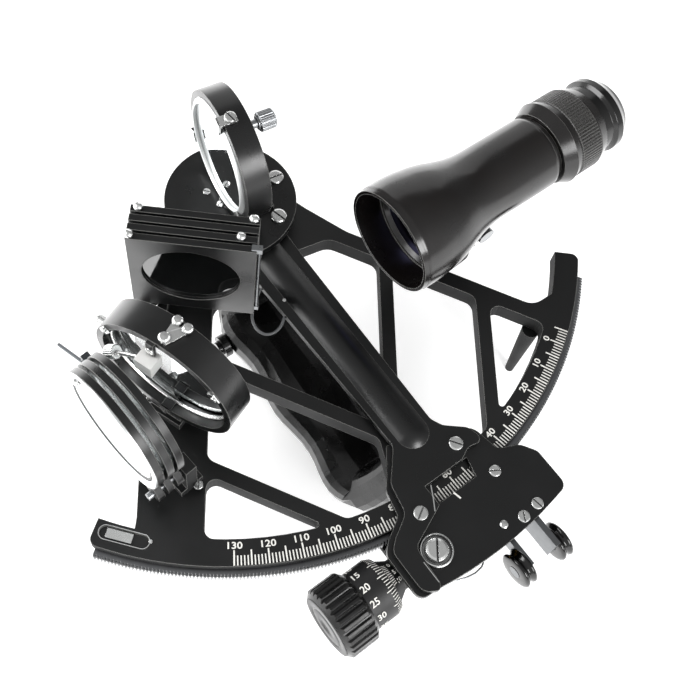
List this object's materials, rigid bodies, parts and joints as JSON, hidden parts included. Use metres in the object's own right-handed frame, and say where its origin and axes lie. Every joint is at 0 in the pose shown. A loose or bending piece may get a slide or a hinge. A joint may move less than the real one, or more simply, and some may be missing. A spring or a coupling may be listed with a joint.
{
  "type": "sextant",
  "caption": "Marine sextant with black cast frame, engraved arc, micrometer drum, telescope, index and horizon mirrors, swinging shades and grip.",
  "frame": {"origin": "middle of the part's box, on the plane of the three feet", "axes": "+Z from the feet toward the mirrors, square to the arc; +X from the pivot toward the arc's zero end; +Y toward the eyepiece side"},
  "size_m": [0.2205, 0.2673, 0.1289],
  "materials": {
    "black_enamel": "satin black enamel on cast aluminium and brass",
    "tube_enamel": "smooth semi-gloss black enamel",
    "drum_enamel": "matt black with white engraving",
    "rack_metal": "dark blackened bronze, oiled teeth",
    "bright_metal": "bright nickel-plated screws and fittings",
    "brass": "turned brass",
    "handle_plastic": "moulded black plastic",
    "finger_plastic": "glossy black plastic",
    "red_plastic": "moulded red plastic button",
    "soft_rubber": "black rubber",
    "wire_sleeve": "grey wire insulation",
    "clear_glass": "clear optical glass",
    "pale_glass": "pale neutral shade glass",
    "dark_glass": "dark neutral shade glass",
    "coated_glass": "coated lens with blue and violet reflections",
    "silvered_glass": "first-surface mirror"
  },
  "bodies": {
    "frame": {"frame_casting": "black_enamel", "arc_rack": "rack_metal", "pivot_bush": "brass", "leg_1": "black_enamel", "leg_2": "black_enamel", "leg_3": "black_enamel", "handle": "handle_plastic", "battery_cap": "handle_plastic", "switch_collar": "bright_metal", "scope_bracket": "black_enamel", "scope_tube": "tube_enamel", "objective_ring": "tube_enamel", "objective_lens": "coated_glass", "horizon_bracket": "black_enamel", "horizon_ring": "black_enamel", "horizon_glass": "clear_glass", "horizon_silver": "silvered_glass", "horizon_clips": "bright_metal", "horizon_adjusters": "bright_metal", "index_shade_bracket": "black_enamel", "index_shade_pin": "bright_metal", "horizon_shade_bracket": "black_enamel", "horizon_shade_pin": "bright_metal"},
    "switch_button": {"light_switch": "red_plastic"},
    "clamp_screw": {"scope_clamp": "bright_metal"},
    "eyepiece": {"focus_ring": "tube_enamel", "eye_cup": "soft_rubber", "eye_lens": "coated_glass"},
    "arm": {"index_arm": "black_enamel", "end_plate": "black_enamel", "arc_keeper": "black_enamel", "pivot_disk": "black_enamel", "pivot_axle": "bright_metal", "index_holder": "black_enamel", "index_glass": "silvered_glass", "index_clips": "bright_metal", "index_adjuster": "bright_metal", "lamp_cap": "bright_metal", "lamp_wire": "wire_sleeve", "fixed_lever": "finger_plastic"},
    "release_frame": {"worm_carriage": "rack_metal", "release_lever": "finger_plastic"},
    "micrometer": {"worm": "brass", "drum": "drum_enamel", "drum_knob": "handle_plastic"},
    "sun_shade_1": {"index_shade_1": "black_enamel", "index_filter_1": "dark_glass"},
    "sun_shade_2": {"index_shade_2": "black_enamel", "index_filter_2": "dark_glass"},
    "sun_shade_3": {"index_shade_3": "black_enamel", "index_filter_3": "dark_glass"},
    "sun_shade_4": {"index_shade_4": "black_enamel", "index_filter_4": "dark_glass"},
    "sea_shade_1": {"horizon_shade_1": "black_enamel", "horizon_filter_1": "pale_glass"},
    "sea_shade_2": {"horizon_shade_2": "black_enamel", "horizon_filter_2": "pale_glass"},
    "sea_shade_3": {"horizon_shade_3": "black_enamel", "horizon_filter_3": "pale_glass"}
  },
  "joints": [
    {"name": "arm_swing", "type": "hinge", "parent": "frame", "child": "arm", "pos_m": [-0.0807, 0.0292, 0.052], "axis": [0, 0, 1], "range_deg": [-34.1, 33.4]},
    {"name": "release_squeeze", "type": "hinge", "parent": "arm", "child": "release_frame", "pos_m": [0.07578, -0.03648, 0.044], "axis": [0, 0, 1], "range_deg": [0, 5], "stiffness_Nm_per_rad": 0.2},
    {"name": "drum_turn", "type": "hinge", "parent": "release_frame", "child": "micrometer", "pos_m": [0.06629, -0.05877, 0.0446], "axis": [-0.5135, -0.8581, 0], "continuous": true},
    {"name": "focus_turn", "type": "hinge", "parent": "frame", "child": "eyepiece", "pos_m": [0.04377, 0.10346, 0.093], "axis": [0.518, 0.8554, 0], "range_deg": [-120, 120]},
    {"name": "clamp_turn", "type": "hinge", "parent": "frame", "child": "clamp_screw", "pos_m": [0.02712, 0.0586, 0.069], "axis": [0.8554, -0.518, 0], "range_deg": [0, 270]},
    {"name": "switch_push", "type": "slide", "parent": "frame", "child": "switch_button", "axis": [0.5519, 0.8339, 0], "range_m": [0, 0.0012], "stiffness_N_per_m": 200},
    {"name": "sun_shade_1_swing", "type": "hinge", "parent": "frame", "child": "sun_shade_1", "pos_m": [-0.09027, -0.02907, 0.0677], "axis": [0.3007, -0.9537, 0], "range_deg": [0, 95]},
    {"name": "sun_shade_2_swing", "type": "hinge", "parent": "frame", "child": "sun_shade_2", "pos_m": [-0.09154, -0.02506, 0.0677], "axis": [0.3007, -0.9537, 0], "range_deg": [0, 95]},
    {"name": "sun_shade_3_swing", "type": "hinge", "parent": "frame", "child": "sun_shade_3", "pos_m": [-0.0928, -0.02106, 0.0677], "axis": [0.3007, -0.9537, 0], "range_deg": [0, 95]},
    {"name": "sun_shade_4_swing", "type": "hinge", "parent": "frame", "child": "sun_shade_4", "pos_m": [-0.09406, -0.01705, 0.0677], "axis": [0.3007, -0.9537, 0], "range_deg": [0, 95]},
    {"name": "sea_shade_1_swing", "type": "hinge", "parent": "frame", "child": "sea_shade_1", "pos_m": [-0.04692, -0.09703, 0.069], "axis": [0.4226, 0.9063, 0], "range_deg": [0, 90]},
    {"name": "sea_shade_2_swing", "type": "hinge", "parent": "frame", "child": "sea_shade_2", "pos_m": [-0.04887, -0.1012, 0.069], "axis": [0.4226, 0.9063, 0], "range_deg": [0, 90]},
    {"name": "sea_shade_3_swing", "type": "hinge", "parent": "frame", "child": "sea_shade_3", "pos_m": [-0.05081, -0.10537, 0.069], "axis": [0.4226, 0.9063, 0], "range_deg": [0, 90]}
  ]
}
